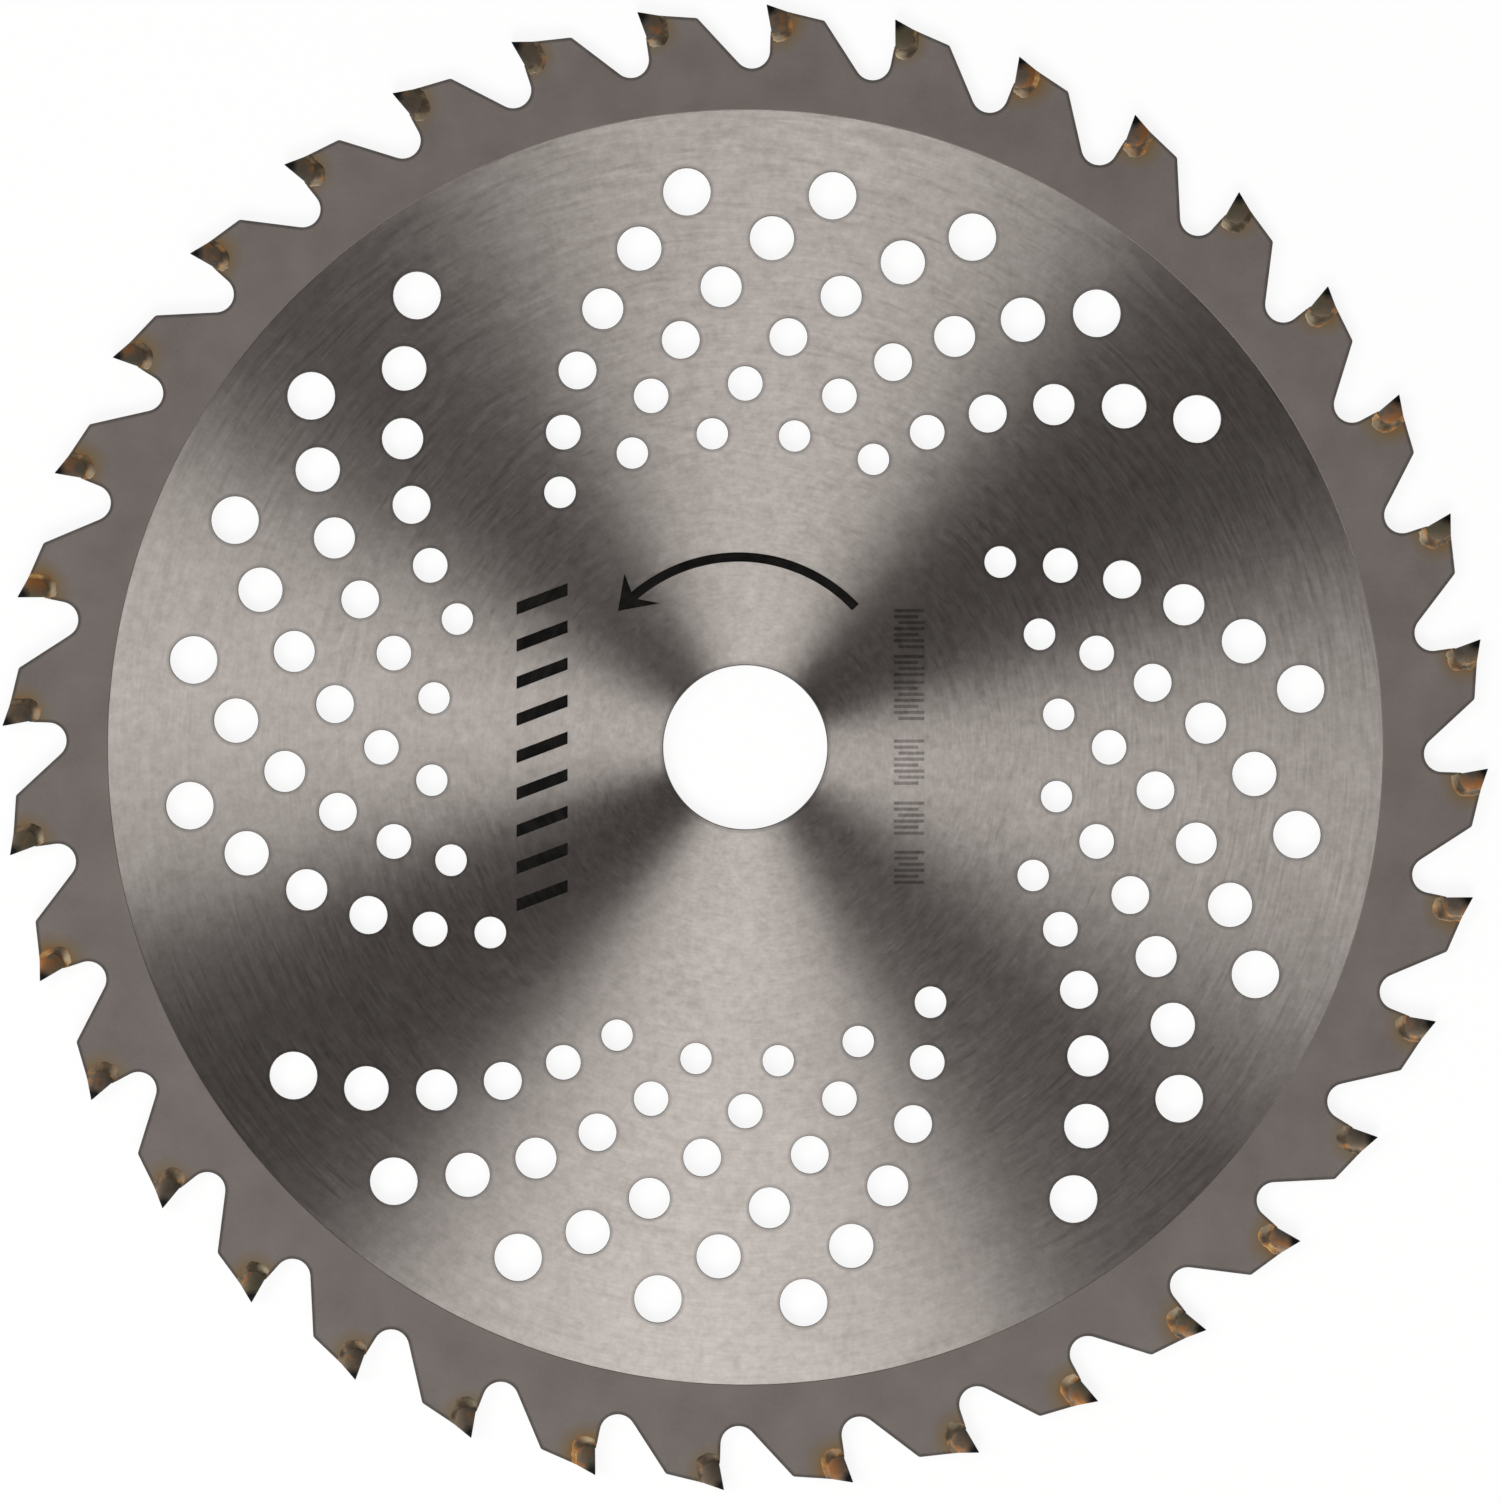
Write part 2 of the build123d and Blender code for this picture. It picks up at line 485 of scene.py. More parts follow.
arrow = {
    "centre": Vector((-1.0, 4.6, 0)),
    "radius": 24.85,
    "width": 1.45,
    "from": 43.4,
    "to": 130.5,
    "steps": 40,
    "upperBarb": Vector((-18.7, 26.9, 0)),
    "tip": Vector((-19.7, 21.1, 0)),
    "lowerBarb": Vector((-13.2, 22.3, 0)),
}

band = {
    "left": -35.4,
    "right": -27.5,
    "top": 25.4,
    "bars": 9,
    "bar": 1.9,
    "slant": 3.0,
}

# rows of short faint bars, in groups given by their upper end and their number of bars
rows = {
    "left": 23.0,
    "right": 27.7,
    "groups": ((21.4, 7), (14.3, 4), (10.3, 7), (1.2, 8), (-8.4, 6), (-16.0, 6)),
    "step": 0.93,
    "bar": 0.5,
    "shortRight": 0.9,  # from the second bar on, each third one ends early
    "shortLeft": 0.7,  # from the third bar on, each fourth one starts late
}


def printUp(bm):
    level = blade["webThick"] / 2
    for vert in bm.verts:
        vert.co.z = (level - inkLayer["sunk"]) * mm
    pushed = bmesh.ops.extrude_face_region(bm, geom=bm.faces[:])["geom"]
    for vert in vertsOf(pushed):
        vert.co.z = (level + inkLayer["proud"]) * mm
    bmesh.ops.recalc_face_normals(bm, faces=bm.faces[:])


def drawBar(bm, left, right, low, height, slant=0.0):
    points = [(left, low), (right, low + slant), (right, low + slant + height), (left, low + height)]
    bm.faces.new([bm.verts.new((x * mm, y * mm, 0)) for x, y in points])


def makeArrow():
    bm = bmesh.new()
    start = turned(Vector((1, 0, 0)), arrow["from"])
    ends = [arrow["centre"] + start * (arrow["radius"] + side * arrow["width"] / 2) for side in (1, -1)]
    verts = [bm.verts.new(end * mm) for end in ends]
    items = verts + [bm.edges.new(verts)]
    last = spinAbout(bm, items, arrow["centre"], arrow["to"] - arrow["from"], arrow["steps"])
    last.sort(key=lambda vert: -(vert.co / mm - arrow["centre"]).length)
    barbs = [bm.verts.new(arrow[name] * mm) for name in ("upperBarb", "tip", "lowerBarb")]
    bm.faces.new([last[0]] + barbs + [last[1]])
    printUp(bm)
    return place(bm, "turning_arrow")


def makeBand():
    bm = bmesh.new()
    travel = 2 * band["top"] - band["slant"] - band["bar"]
    for row in range(band["bars"]):
        low = -band["top"] + travel * row / (band["bars"] - 1)
        drawBar(bm, band["left"], band["right"], low, band["bar"], band["slant"])
    printUp(bm)
    return place(bm, "printed_band")


def makeRows():
    bm = bmesh.new()
    for top, count in rows["groups"]:
        for row in range(count):
            low = top - rows["bar"] - row * rows["step"]
            right = rows["right"] - (rows["shortRight"] if row % 3 == 1 else 0)
            left = rows["left"] + (rows["shortLeft"] if row % 4 == 2 else 0)
            drawBar(bm, left, right, low, rows["bar"])
    printUp(bm)
    piece = place(bm, "faint_rows")
    # its grinding lines turn about the spindle, as the steel's do
    piece.data.use_auto_texspace = False
    piece.data.texspace_location = spindle
    piece.data.texspace_size = (blade["radius"] * mm, blade["radius"] * mm, blade["rimThick"] * mm)
    return piece


arrowPiece = makeArrow()
bandPiece = makeBand()
rowPiece = makeRows()
print("printed marks made")

# where each new node stands in the node editor
nodeRows = {"columns": 8, "across": 200, "down": 350}


def feed(tree, socket, value):
    if isinstance(value, bpy.types.NodeSocket):
        tree.links.new(value, socket)
    else:
        socket.default_value = value


def node(tree, kind, inputs=None, **settings):
    row, column = divmod(len(tree.nodes), nodeRows["columns"])
    made = tree.nodes.new(kind)
    made.location = (column * nodeRows["across"], -row * nodeRows["down"])
    for name, value in settings.items():
        setattr(made, name, value)
    for key, value in (inputs or {}).items():
        feed(tree, made.inputs[key], value)
    return made


def calc(tree, operation, *values, clamp=False):
    made = node(tree, "ShaderNodeMath", dict(enumerate(values)), operation=operation, use_clamp=clamp)
    return made.outputs[0]


# share of the first value, and the rest of the second
def blend(tree, first, second, share):
    return calc(tree, "MULTIPLY_ADD", first, share, calc(tree, "MULTIPLY", second, 1 - share))


def spanned(tree, value, low, high, lowest=0.0, highest=1.0):
    inputs = {"Value": value, "From Min": low, "From Max": high, "To Min": lowest, "To Max": highest}
    return node(tree, "ShaderNodeMapRange", inputs, clamp=True).outputs["Result"]


def vectorCalc(tree, operation, *values):
    made = node(tree, "ShaderNodeVectorMath", dict(enumerate(values)), operation=operation)
    single = operation in ("LENGTH", "DISTANCE", "DOT_PRODUCT")
    return made.outputs["Value" if single else "Vector"]


def joined(tree, x, y, z=0.0):
    return node(tree, "ShaderNodeCombineXYZ", {"X": x, "Y": y, "Z": z}).outputs[0]


def parted(tree, vector):
    return node(tree, "ShaderNodeSeparateXYZ", {0: vector}).outputs


def onPiece(tree):
    return node(tree, "ShaderNodeTexCoord").outputs["Object"]


def noiseAt(tree, spot, scale, detail, roughness=0.5):
    inputs = {"Vector": spot, "Scale": scale, "Detail": detail, "Roughness": roughness}
    return node(tree, "ShaderNodeTexNoise", inputs).outputs["Fac"]


def newGroup(name, inputs, outputs):
    tree = bpy.data.node_groups.new(name, "ShaderNodeTree")
    for label, value in inputs.items():
        socket = tree.interface.new_socket(name=label, in_out="INPUT", socket_type="NodeSocketFloat")
        socket.default_value = value
    for label in outputs:
        tree.interface.new_socket(name=label, in_out="OUTPUT", socket_type="NodeSocketFloat")
    return tree, node(tree, "NodeGroupInput").outputs, node(tree, "NodeGroupOutput").inputs


# place on a tooth, in millimetres behind and outward of its cutting corner
toothSpot = {
    "lead": 0.02,  # share of the pitch in front of the corner that still counts as this tooth
    "moodRow": 100.5,  # sets the second draw of a tooth apart from the first
}


def makeToothPlace():
    inputs = {
        "Teeth": blade["teeth"], "First Tooth": blade["firstTooth"],
        "Radius": blade["radius"], "Heel Radius": tip["heelRadius"],
    }
    outputs = ("Behind", "Out", "Chance", "Mood", "Back", "Under", "Away")
    tree, given, result = newGroup("toothPlace", inputs, outputs)
    parts = parted(tree, onPiece(tree))
    angle = calc(tree, "ARCTAN2", parts["Y"], parts["X"])
    step = calc(tree, "DIVIDE", 2 * pi, given["Teeth"])
    turnedBy = calc(tree, "SUBTRACT", calc(tree, "RADIANS", given["First Tooth"]), angle)
    count = calc(tree, "DIVIDE", turnedBy, step)
    whole = calc(tree, "FLOOR", calc(tree, "ADD", count, toothSpot["lead"]))
    onTooth = calc(tree, "MULTIPLY", calc(tree, "SUBTRACT", count, whole), step)
    reach = vectorCalc(tree, "LENGTH", joined(tree, parts["X"], parts["Y"]))
    reachMm = calc(tree, "MULTIPLY", reach, 1 / mm)
    behindMm = calc(tree, "MULTIPLY", calc(tree, "SINE", onTooth), reachMm)
    outMm = calc(tree, "MULTIPLY", calc(tree, "COSINE", onTooth), reachMm)
    outMm = calc(tree, "SUBTRACT", outMm, given["Radius"])
    feed(tree, result["Behind"], behindMm)
    feed(tree, result["Out"], outMm)
    # two draws for each tooth
    for label, seed in (("Chance", whole), ("Mood", calc(tree, "ADD", whole, toothSpot["moodRow"]))):
        draw = node(tree, "ShaderNodeTexWhiteNoise", {"W": seed}, noise_dimensions="1D")
        feed(tree, result[label], draw.outputs["Value"])
    # how far back and under the centre of the tip's rounded heel, and how far away from its outline
    offset = vectorCalc(tree, "SUBTRACT", joined(tree, behindMm, outMm), heelCentre - corner)
    sides = []
    for label, way in (("Back", behind), ("Under", down)):
        side = vectorCalc(tree, "DOT_PRODUCT", offset, way)
        feed(tree, result[label], side)
        sides.append(calc(tree, "MAXIMUM", side, 0.0))
    fromCentre = vectorCalc(tree, "LENGTH", joined(tree, *sides))
    feed(tree, result["Away"], calc(tree, "SUBTRACT", fromCentre, given["Heel Radius"]))
    return tree


# concentric grinding lines about the spindle axis
grindNoise = {"detail": 3.0, "roughness": 0.6}


def makeGrindLines():
    inputs = {"Lines": 2600.0, "Drag": 4.0, "Coarse": 500.0}
    tree, given, result = newGroup("grindLines", inputs, ("Fine", "Broad"))
    parts = parted(tree, onPiece(tree))
    flat = joined(tree, parts["X"], parts["Y"])
    reach = vectorCalc(tree, "LENGTH", flat)
    way = parted(tree, vectorCalc(tree, "NORMALIZE", flat))
    for label, lines in (("Fine", given["Lines"]), ("Broad", given["Coarse"])):
        across = calc(tree, "MULTIPLY", reach, lines)
        alongX = calc(tree, "MULTIPLY", way["X"], given["Drag"])
        alongY = calc(tree, "MULTIPLY", way["Y"], given["Drag"])
        spot = joined(tree, across, alongX, alongY)
        feed(tree, result[label], noiseAt(tree, spot, 1.0, grindNoise["detail"], grindNoise["roughness"]))
    return tree


# fine pits of a blasted face, with slow clouds over them
pitNoise = {"detail": 2.0, "roughness": 0.65}
cloudNoise = {"detail": 4.0, "roughness": 0.55}


def makeBlastGrain():
    tree, given, result = newGroup("blastGrain", {"Grain": 5200.0, "Cloud": 160.0}, ("Pits", "Clouds"))
    spot = onPiece(tree)
    for label, scale, look in (("Pits", "Grain", pitNoise), ("Clouds", "Cloud", cloudNoise)):
        feed(tree, result[label], noiseAt(tree, spot, given[scale], look["detail"], look["roughness"]))
    return tree


# painted shade that gathers in patches along the cut edges of the steel
edgeShadePatches = {
    "scale": 700.0,
    "detail": 3.0,
    "nearEdge": (0.0, 0.6),
    "levels": (0.2, 0.7, 0.6, 1.1),
}


def makePaintedEdgeShade():
    tree, given, result = newGroup("paintedEdgeShade", {"Strength": 0.6}, ("Mask",))
    near = node(tree, "ShaderNodeAttribute", attribute_name="nearEdge").outputs["Fac"]
    patches = noiseAt(tree, onPiece(tree), edgeShadePatches["scale"], edgeShadePatches["detail"])
    close = spanned(tree, near, *edgeShadePatches["nearEdge"])
    level = spanned(tree, patches, *edgeShadePatches["levels"])
    uneven = calc(tree, "MULTIPLY", close, level, clamp=True)
    feed(tree, result["Mask"], calc(tree, "MULTIPLY", uneven, given["Strength"]))
    return tree


groups = {
    "toothPlace": makeToothPlace(),
    "grindLines": makeGrindLines(),
    "blastGrain": makeBlastGrain(),
    "paintedEdgeShade": makePaintedEdgeShade(),
}


def useGroup(tree, name, inputs=None):
    return node(tree, "ShaderNodeGroup", inputs, node_tree=groups[name]).outputs


def newMaterial(name):
    material = bpy.data.materials.new(name)
    material.use_nodes = True
    tree = material.node_tree
    tree.nodes.clear()
    shader = node(tree, "ShaderNodeBsdfPrincipled")
    node(tree, "ShaderNodeOutputMaterial", {"Surface": shader.outputs[0]})
    return material, tree, shader


def ramp(tree, level, positions, colours):
    made = node(tree, "ShaderNodeValToRGB", {"Fac": level})
    elements = made.color_ramp.elements
    while len(elements) < len(positions):
        elements.new(0.5)
    for element, position, colour in zip(elements, positions, colours):
        element.position = position
        element.color = (*colour, 1)
    return made.outputs["Color"]


def mixColour(tree, share, first, second):
    made = node(tree, "ShaderNodeMix", {0: share}, data_type="RGBA", blend_type="MIX")
    for key, colour in ((6, first), (7, second)):
        feed(tree, made.inputs[key], colour if isinstance(colour, bpy.types.NodeSocket) else (*colour, 1))
    return made.outputs[2]


# darkens a colour along the cut edges with painted shade
def paintEdgeShade(tree, finish, colour):
    stain = useGroup(tree, "paintedEdgeShade", {"Strength": finish["paintedEdgeShade"]})
    return mixColour(tree, stain["Mask"], colour, finish["shadeAtEdge"])


# colour, roughness from the middle levels of a noise, and fine relief
noiseMiddle = (0.3, 0.7)


def dress(tree, shader, finish, colour, roughLevel, height):
    rough = spanned(tree, roughLevel, *noiseMiddle, *finish["roughness"])
    bump = node(tree, "ShaderNodeBump", {
        "Height": height, "Strength": finish["relief"], "Distance": finish["depth"] * mm,
    })
    tree.links.new(colour, shader.inputs["Base Color"])
    tree.links.new(rough, shader.inputs["Roughness"])
    tree.links.new(bump.outputs["Normal"], shader.inputs["Normal"])
    shader.inputs["Metallic"].default_value = finish["metallic"]


ground = {
    "dark": (0.42, 0.385, 0.362),
    "light": (0.58, 0.545, 0.524),
    "etchDark": (0.19, 0.17, 0.158),
    "etchLight": (0.36, 0.335, 0.32),
    # colour and strength of the painted shade along the edges
    "shadeAtEdge": (0.12, 0.108, 0.1),
    "paintedEdgeShade": 0.35,
    "lines": {"Lines": 2600.0, "Drag": 14.0, "Coarse": 900.0},
    "grain": {"Grain": 700.0, "Cloud": 60.0},
    "broadShare": 0.35,
    "pitShare": 0.75,
    "mottleShare": 0.6,
    "contrast": (0.34, 0.66),
    "roughness": (0.32, 0.42),
    "relief": 0.35,
    "depth": 0.004,
    "metallic": 1.0,
    "anisotropic": 0.98,
    "anisotropicTurn": 0.25,
}


def makeGround(name, dark, light):
    material, tree, shader = newMaterial(name)
    lines = useGroup(tree, "grindLines", ground["lines"])
    grain = useGroup(tree, "blastGrain", ground["grain"])
    both = blend(tree, lines["Broad"], lines["Fine"], ground["broadShare"])
    mottle = blend(tree, grain["Pits"], grain["Clouds"], ground["pitShare"])
    clouded = blend(tree, mottle, both, ground["mottleShare"])
    # the grain's colour, darkened with painted shade along the edges
    colour = paintEdgeShade(tree, ground, ramp(tree, clouded, ground["contrast"], (dark, light)))
    dress(tree, shader, ground, colour, both, both)
    # highlights are drawn out across the concentric lines
    tangent = node(tree, "ShaderNodeTangent", direction_type="RADIAL", axis="Z")
    tree.links.new(tangent.outputs[0], shader.inputs["Tangent"])
    shader.inputs["Anisotropic"].default_value = ground["anisotropic"]
    shader.inputs["Anisotropic Rotation"].default_value = ground["anisotropicTurn"]
    return material


blasted = {
    "dark": (0.129, 0.11, 0.102),
    "light": (0.173, 0.151, 0.141),
    "straw": (0.152, 0.113, 0.066),
    "brown": (0.17, 0.085, 0.026),
    # colour and strength of the painted shade along the edges
    "shadeAtEdge": (0.045, 0.04, 0.037),
    "paintedEdgeShade": 0.75,
    "grain": {"Grain": 3600.0, "Cloud": 120.0},
    "cloudShare": 0.6,
    "contrast": (0.3, 0.7),
    "heatChance": -1.0,  # the tint reaches further round some teeth
    "heatWander": 1.4,
    "strawReach": (3.7, 1.5),
    "brownReach": (1.9, 0.9),
    "brownShare": 0.7,
    "roughness": (0.58, 0.68),
    "relief": 0.5,
    "depth": 0.01,
    "metallic": 0.55,
}


def makeBlasted():
    material, tree, shader = newMaterial("blastedRim")
    grain = useGroup(tree, "blastGrain", blasted["grain"])
    both = blend(tree, grain["Clouds"], grain["Pits"], blasted["cloudShare"])
    colour = ramp(tree, both, blasted["contrast"], (blasted["dark"], blasted["light"]))
    # heat tint round the seat of each tip
    spot = useGroup(tree, "toothPlace")
    heat = calc(tree, "MULTIPLY_ADD", spot["Chance"], blasted["heatChance"], spot["Away"])
    heat = calc(tree, "MULTIPLY_ADD", grain["Clouds"], blasted["heatWander"], heat)
    straw = spanned(tree, heat, *blasted["strawReach"])
    brown = calc(tree, "MULTIPLY", spanned(tree, heat, *blasted["brownReach"]), blasted["brownShare"])
    colour = mixColour(tree, straw, colour, blasted["straw"])
    colour = mixColour(tree, brown, colour, blasted["brown"])
    # the tinted colour, darkened with painted shade along the edges
    dress(tree, shader, blasted, paintEdgeShade(tree, blasted, colour), both, grain["Pits"])
    return material


cut = {
    "dark": (0.05, 0.045, 0.042),
    "light": (0.14, 0.128, 0.12),
    "stretch": (9000.0, 9000.0, 300.0),  # drag marks run across the thickness
    "detail": 2.0,
    "contrast": (0.3, 0.7),
    "roughness": (0.36, 0.52),
    "relief": 0.4,
    "depth": 0.01,
    "metallic": 1.0,
}


def makeCut():
    material, tree, shader = newMaterial("cutEdge")
    stretched = node(tree, "ShaderNodeMapping", {"Vector": onPiece(tree), "Scale": cut["stretch"]})
    drag = noiseAt(tree, stretched.outputs[0], 1.0, cut["detail"])
    colour = ramp(tree, drag, cut["contrast"], (cut["dark"], cut["light"]))
    dress(tree, shader, cut, colour, drag, drag)
    return material


carbide = {
    "body": (0.06, 0.051, 0.042),
    "light": (0.108, 0.094, 0.078),
    "olive": (0.085, 0.081, 0.048),
    "edge": (0.008, 0.008, 0.008),
    "stain": (0.14, 0.105, 0.072),
    "orange": (0.3, 0.11, 0.024),
    "grain": {"Grain": 4200.0, "Cloud": 420.0},
    "chanceShare": 0.25,
    "cloudShare": 0.8,
    "contrast": (0.35, 0.7),
    "oliveTips": (0.5, 0.9, 0.0, 0.7),
    "stainWander": 1.2,
    "stainReach": (-0.6, 1.8),
    "stainShare": 0.75,
    "patchChance": 0.2,
    "patchLevels": (0.6, 0.72),
    "patchShare": 0.7,
    "edgeWander": 0.8,
    "edgeReach": (2.6, 1.5),
    "roughness": (0.35, 0.48),
    "relief": 0.35,
    "depth": 0.008,
    "metallic": 0.6,
    "gloss": 0.2,
}


def makeCarbide():
    material, tree, shader = newMaterial("groundCarbide")
    spot = useGroup(tree, "toothPlace")
    grain = useGroup(tree, "blastGrain", carbide["grain"])
    clouds = grain["Clouds"]
    shade = calc(tree, "MULTIPLY", clouds, carbide["cloudShare"])
    shade = calc(tree, "MULTIPLY_ADD", spot["Chance"], carbide["chanceShare"], shade)
    colour = ramp(tree, shade, carbide["contrast"], (carbide["body"], carbide["light"]))
    olive = spanned(tree, spot["Mood"], *carbide["oliveTips"])
    colour = mixColour(tree, olive, colour, carbide["olive"])
    # gold stain towards the back, with orange patches near the braze
    backward = calc(tree, "MULTIPLY_ADD", clouds, carbide["stainWander"], spot["Back"])
    stained = spanned(tree, backward, *carbide["stainReach"])
    stain = calc(tree, "MULTIPLY", stained, carbide["stainShare"])
    colour = mixColour(tree, stain, colour, carbide["stain"])
    patch = calc(tree, "MULTIPLY_ADD", spot["Chance"], carbide["patchChance"], clouds)
    glow = calc(tree, "MULTIPLY", spanned(tree, patch, *carbide["patchLevels"]), stained)
    glow = calc(tree, "MULTIPLY", glow, carbide["patchShare"])
    colour = mixColour(tree, glow, colour, carbide["orange"])
    # freshly ground and nearly black at the cutting corner
    fromCorner = vectorCalc(tree, "LENGTH", joined(tree, spot["Behind"], spot["Out"]))
    fromCorner = calc(tree, "MULTIPLY_ADD", clouds, carbide["edgeWander"], fromCorner)
    fresh = spanned(tree, fromCorner, *carbide["edgeReach"])
    colour = mixColour(tree, fresh, colour, carbide["edge"])
    dress(tree, shader, carbide, colour, grain["Pits"], grain["Pits"])
    shader.inputs["Specular IOR Level"].default_value = carbide["gloss"]
    return material


brass = {
    "darkBrown": (0.052, 0.036, 0.02),
    "dull": (0.145, 0.106, 0.066),
    "orange": (0.3, 0.13, 0.032),
    "gold": (0.36, 0.235, 0.085),
    "pale": (0.43, 0.36, 0.25),
    "grain": {"Grain": 2600.0, "Cloud": 620.0},
    "chanceShare": 0.2,
    "stops": (0.36, 0.5, 0.6, 0.7),
    "darkAt": (0.7, 1.6, 0),  # back and under from the centre of the heel
    "darkReach": (1.9, 1.15),
    "darkShare": 0.85,
    "lowWander": 0.8,
    "lowReach": (2.15, 2.6),
    "frontChance": -0.8,
    "frontReach": (0.6, -0.8),
    "paleLevels": (0.0, 1.0, 0.25, 0.72),
    "roughness": (0.44, 0.62),
    "relief": 0.5,
    "depth": 0.02,
    "metallic": 0.45,
}


def makeBrass():
    material, tree, shader = newMaterial("brazeBrass")
    spot = useGroup(tree, "toothPlace")
    grain = useGroup(tree, "blastGrain", brass["grain"])
    clouds = grain["Clouds"]
    shade = blend(tree, spot["Chance"], clouds, brass["chanceShare"])
    tones = [brass[name] for name in ("darkBrown", "dull", "orange", "gold")]
    colour = ramp(tree, shade, brass["stops"], tones)
    # darker where the tip's heel meets the steel
    beside = joined(tree, spot["Back"], spot["Under"])
    atHeel = calc(tree, "ADD", vectorCalc(tree, "DISTANCE", beside, brass["darkAt"]), clouds)
    darkBrown = calc(tree, "MULTIPLY", spanned(tree, atHeel, *brass["darkReach"]), brass["darkShare"])
    colour = mixColour(tree, darkBrown, colour, brass["darkBrown"])
    # paler bead below the tip, towards the cutting face
    below = calc(tree, "MULTIPLY_ADD", clouds, brass["lowWander"], spot["Under"])
    forward = calc(tree, "MULTIPLY_ADD", spot["Chance"], brass["frontChance"], spot["Back"])
    low = spanned(tree, below, *brass["lowReach"])
    front = spanned(tree, forward, *brass["frontReach"])
    level = spanned(tree, spot["Mood"], *brass["paleLevels"])
    pale = calc(tree, "MULTIPLY", calc(tree, "MULTIPLY", low, front), level)
    colour = mixColour(tree, pale, colour, brass["pale"])
    dress(tree, shader, brass, colour, clouds, grain["Pits"])
    return material


ink = {
    "thin": (0.012, 0.011, 0.01),
    "thick": (0.002, 0.002, 0.002),
    "grain": {"Grain": 3000.0, "Cloud": 500.0},
    "lines": {"Lines": 2600.0, "Drag": 4.0},
    "lineShare": 0.5,
    "contrast": (0.4, 0.75),
    "roughness": (0.7, 0.8),
    "relief": 0.3,
    "depth": 0.005,
    "metallic": 0.0,
    "gloss": 0.06,
}


def makeInk():
    material, tree, shader = newMaterial("blackInk")
    grain = useGroup(tree, "blastGrain", ink["grain"])
    lines = useGroup(tree, "grindLines", ink["lines"])
    worn = blend(tree, lines["Fine"], grain["Clouds"], ink["lineShare"])
    colour = ramp(tree, worn, ink["contrast"], (ink["thick"], ink["thin"]))
    dress(tree, shader, ink, colour, worn, grain["Pits"])
    shader.inputs["Specular IOR Level"].default_value = ink["gloss"]
    return material


finishes = {
    "ground": makeGround("groundWeb", ground["dark"], ground["light"]),
    "etched": makeGround("etchedWeb", ground["etchDark"], ground["etchLight"]),
    "blasted": makeBlasted(),
    "cut": makeCut(),
    "carbide": makeCarbide(),
    "brass": makeBrass(),
    "blackInk": makeInk(),
}
for name in ("ground", "blasted", "cut"):  # in the order of the plate's slots
    steelPiece.data.materials.append(finishes[name])
for piece in tipPieces:
    piece.data.materials.append(finishes["carbide"])
brazePiece.data.materials.append(finishes["brass"])
arrowPiece.data.materials.append(finishes["blackInk"])
bandPiece.data.materials.append(finishes["blackInk"])
rowPiece.data.materials.append(finishes["etched"])
print("materials made:", len(finishes))


# floor, lamps and camera
studio = {
    "floorSize": 6.0,
    "floorWhite": 0.8,
    "whiteShare": 0.88,
    "worldLevel": 0.3,
    "room": (1, 0.99, 0.98),
    "ceiling": 0.03,
    "wallFade": (0.6, 0.25),  # heights between which the dark ceiling turns into white wall
    "tintFade": (0.5, 0.15),
    "upperRoom": (1, 0.87, 0.81),
    "cameraHeight": 1.45,
    "sensor": 36,
    "clip": (0.01, 20),
    "framePixels": 1500,
    "pixelsPerMm": 6.461,  # scale of the photograph
    "centre": (0.734, -0.42),
}


def seenRays(tree):
    rays = node(tree, "ShaderNodeLightPath").outputs
    direct = calc(tree, "MAXIMUM", rays["Is Camera Ray"], rays["Is Glossy Ray"])
    return calc(tree, "MAXIMUM", direct, rays["Is Transmission Ray"])


def mixShader(tree, share, first, second):
    return node(tree, "ShaderNodeMixShader", {0: share, 1: first.outputs[0], 2: second.outputs[0]})


def makeFloor():
    bm = bmesh.new()
    bmesh.ops.create_grid(bm, x_segments=1, y_segments=1, size=studio["floorSize"] / 2)
    bmesh.ops.translate(bm, vec=(0, 0, -tip["thick"] / 2 * mm), verts=bm.verts[:])
    floor = addMesh("studio_floor", bm)
    material = bpy.data.materials.new("paperFloor")
    material.use_nodes = True
    tree = material.node_tree
    tree.nodes.clear()
    white = studio["floorWhite"]
    paper = node(tree, "ShaderNodeBsdfDiffuse", {"Color": (white, white, white, 1)})
    glow = node(tree, "ShaderNodeEmission", {"Color": (1, 1, 1, 1), "Strength": 1.0})
    seen = calc(tree, "MULTIPLY", seenRays(tree), studio["whiteShare"])
    # clear from underneath, so that the blade's other face can be looked at
    clear = node(tree, "ShaderNodeBsdfTransparent")
    under = node(tree, "ShaderNodeNewGeometry").outputs["Backfacing"]
    shown = mixShader(tree, under, mixShader(tree, seen, paper, glow), clear)
    node(tree, "ShaderNodeOutputMaterial", {"Surface": shown.outputs[0]})
    floor.data.materials.append(material)


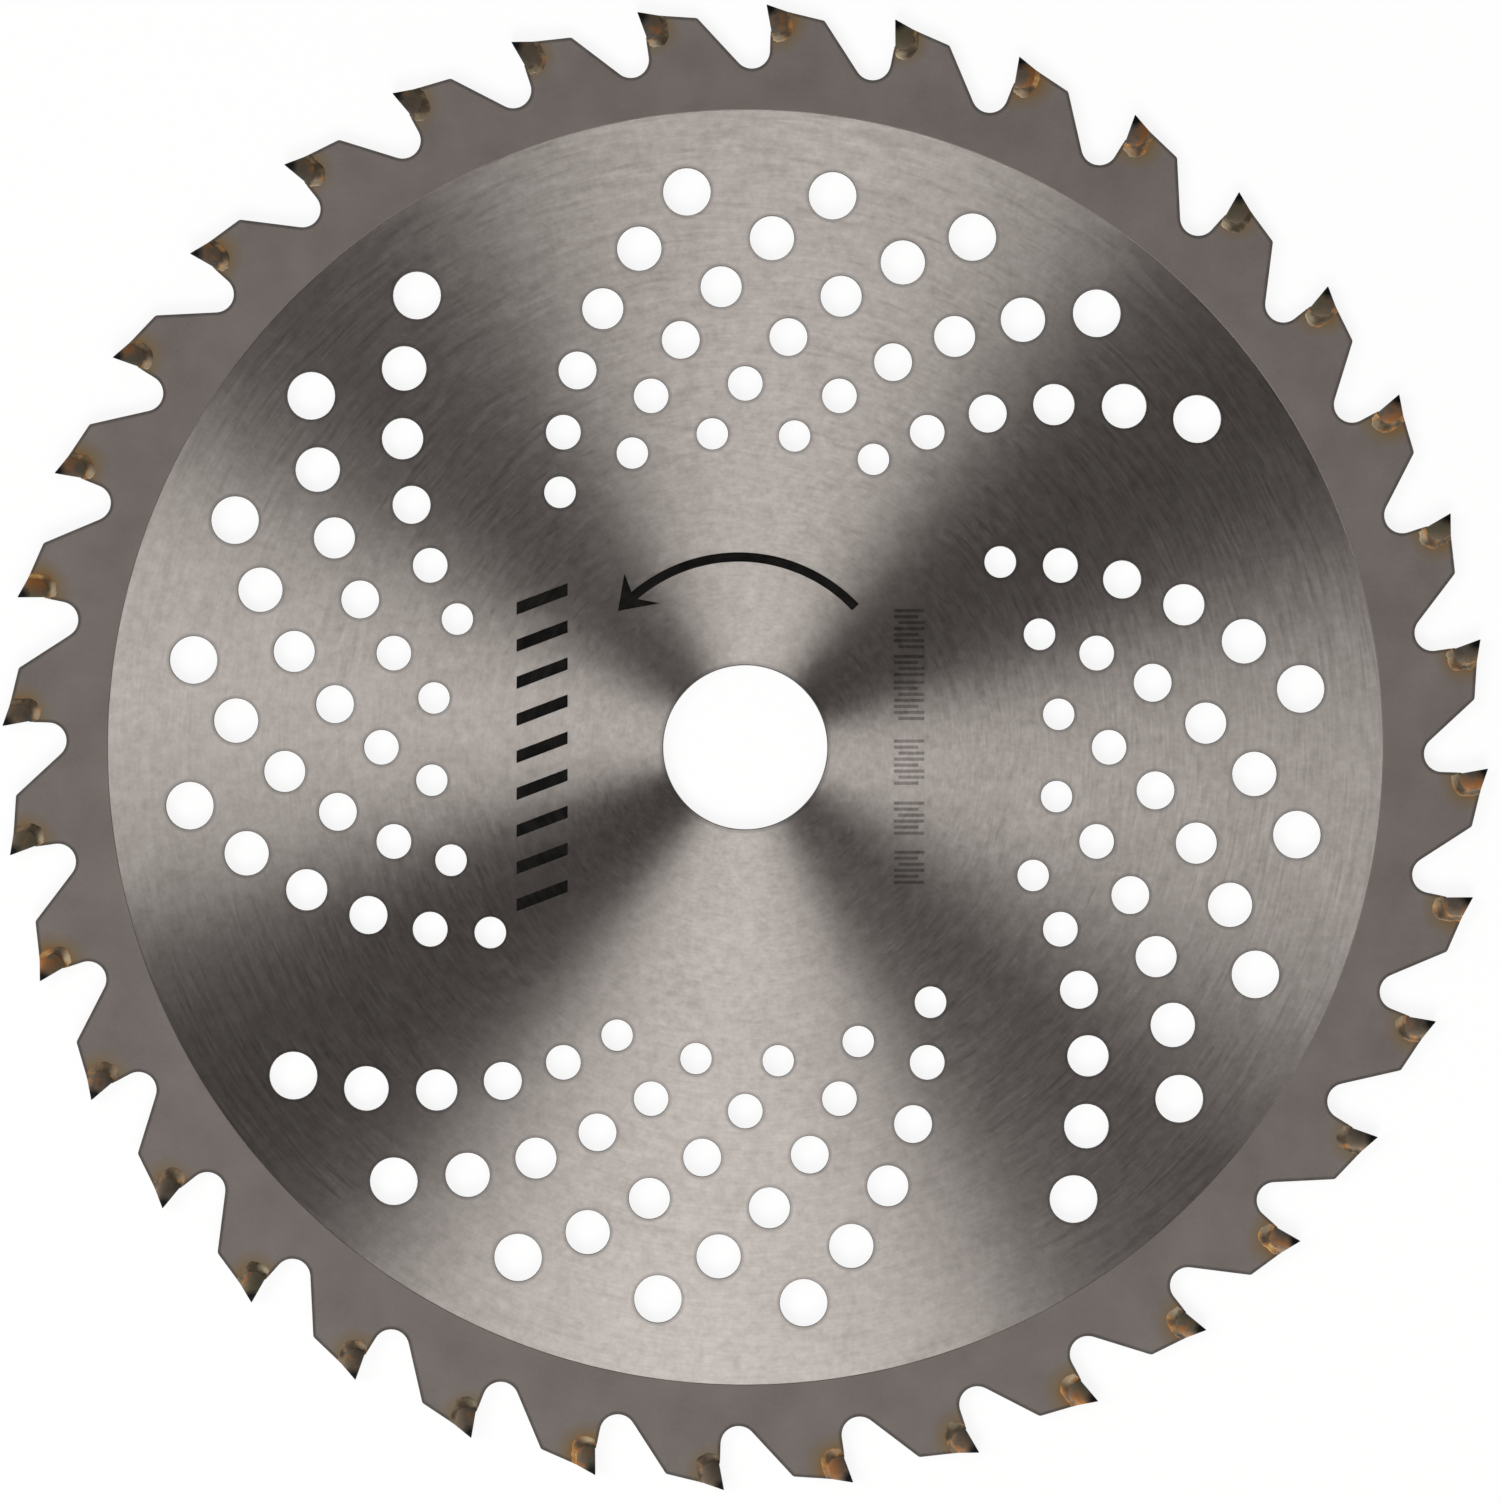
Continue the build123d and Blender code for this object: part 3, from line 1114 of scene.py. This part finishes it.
def makeWorld():
    world = bpy.data.worlds.new("studioWorld")
    bpy.context.scene.world = world
    world.use_nodes = True
    tree = world.node_tree
    tree.nodes.clear()
    # white walls round the table, under a dark ceiling
    height = parted(tree, node(tree, "ShaderNodeTexCoord").outputs["Generated"])["Z"]
    wall = spanned(tree, height, *studio["wallFade"])
    level = spanned(tree, wall, 0.0, 1.0, studio["ceiling"], 1.0)
    warm = mixColour(tree, spanned(tree, height, *studio["tintFade"]), studio["upperRoom"], (1, 1, 1))
    roomColour = (*studio["room"], 1)
    room = node(tree, "ShaderNodeBackground", {"Color": roomColour, "Strength": studio["worldLevel"]})
    backdrop = node(tree, "ShaderNodeBackground", {"Color": warm, "Strength": level})
    shown = mixShader(tree, seenRays(tree), room, backdrop)
    node(tree, "ShaderNodeOutputWorld", {"Surface": shown.outputs[0]})


# each lamp throws a bright wedge across the ground lines, towards it and away from it
lampKind = {"distance": 3.0, "height": 1.6, "colour": (1, 0.985, 0.965)}

lamps = {
    "frontLamp": {"azimuth": 265.3, "zenith": 48, "width": 2.8, "watts": 86},
    "leftLamp": {"azimuth": 173.4, "zenith": 48, "width": 1.94, "watts": 48.5},
    "fillLamp": {"azimuth": 304, "zenith": 58, "width": 1.0, "watts": 3.6},
    "sideLamp": {"azimuth": 325.5, "zenith": 48, "width": 0.35, "watts": 1.7},
}


def makeLamp(name, lamp):
    light = bpy.data.lights.new(name, "AREA")
    light.shape = "ELLIPSE"
    light.size = lamp["width"]
    light.size_y = lampKind["height"]
    light.energy = lamp["watts"]
    light.color = lampKind["colour"]
    holder = addObject(name, light)
    azimuth = radians(lamp["azimuth"])
    zenith = radians(lamp["zenith"])
    way = Vector((sin(zenith) * cos(azimuth), sin(zenith) * sin(azimuth), cos(zenith)))
    holder.location = way * lampKind["distance"]
    holder.rotation_euler = way.to_track_quat("Z", "Y").to_euler()


def makeCamera():
    camera = bpy.data.cameras.new("topCamera")
    aboveRim = studio["cameraHeight"] - blade["rimThick"] / 2 * mm
    frameWidth = studio["framePixels"] / studio["pixelsPerMm"] * mm
    camera.sensor_width = studio["sensor"]
    camera.lens = studio["sensor"] * aboveRim / frameWidth
    camera.clip_start, camera.clip_end = studio["clip"]
    holder = addObject("topCamera", camera)
    x, y = studio["centre"]
    holder.location = (x * mm, y * mm, studio["cameraHeight"])
    bpy.context.scene.camera = holder


makeFloor()
makeWorld()
for name, lamp in lamps.items():
    makeLamp(name, lamp)
makeCamera()
bpy.context.scene.view_settings.view_transform = "Standard"
print("studio made")
